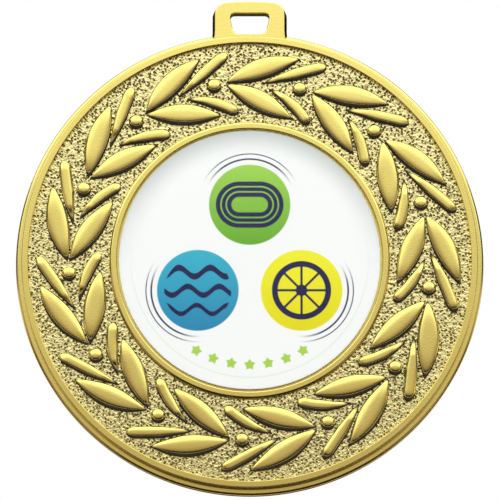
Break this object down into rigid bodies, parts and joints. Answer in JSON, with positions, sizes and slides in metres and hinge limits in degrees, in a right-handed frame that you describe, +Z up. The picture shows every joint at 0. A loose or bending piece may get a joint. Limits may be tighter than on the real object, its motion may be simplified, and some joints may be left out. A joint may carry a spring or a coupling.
{
  "type": "sports finisher medal",
  "caption": "Round gold-coloured cast medal with a leaf-and-berry wreath in relief, a clear-domed printed centre and a cast ribbon loop.",
  "frame": {"origin": "middle of the upper wall of the loop's slot, where the ribbon bears, halfway through the loop's thickness", "axes": "+Z up from the disc to the loop, -Y out of the printed face, +X to the right of someone looking at the face"},
  "size_m": [0.045, 0.0044, 0.048],
  "materials": {
    "gold_plating": "bright gold plating on a zinc-alloy casting, satin stipple on the field",
    "adhesive_foam": "white self-adhesive foam",
    "printed_film": "white film, printed in green, blue, yellow and navy",
    "clear_resin": "clear domed resin, wet gloss"
  },
  "bodies": {
    "root": {"medal_body": "gold_plating", "adhesive_pad": "adhesive_foam", "printed_disc": "printed_film", "clear_dome": "clear_resin"}
  },
  "joints": []
}
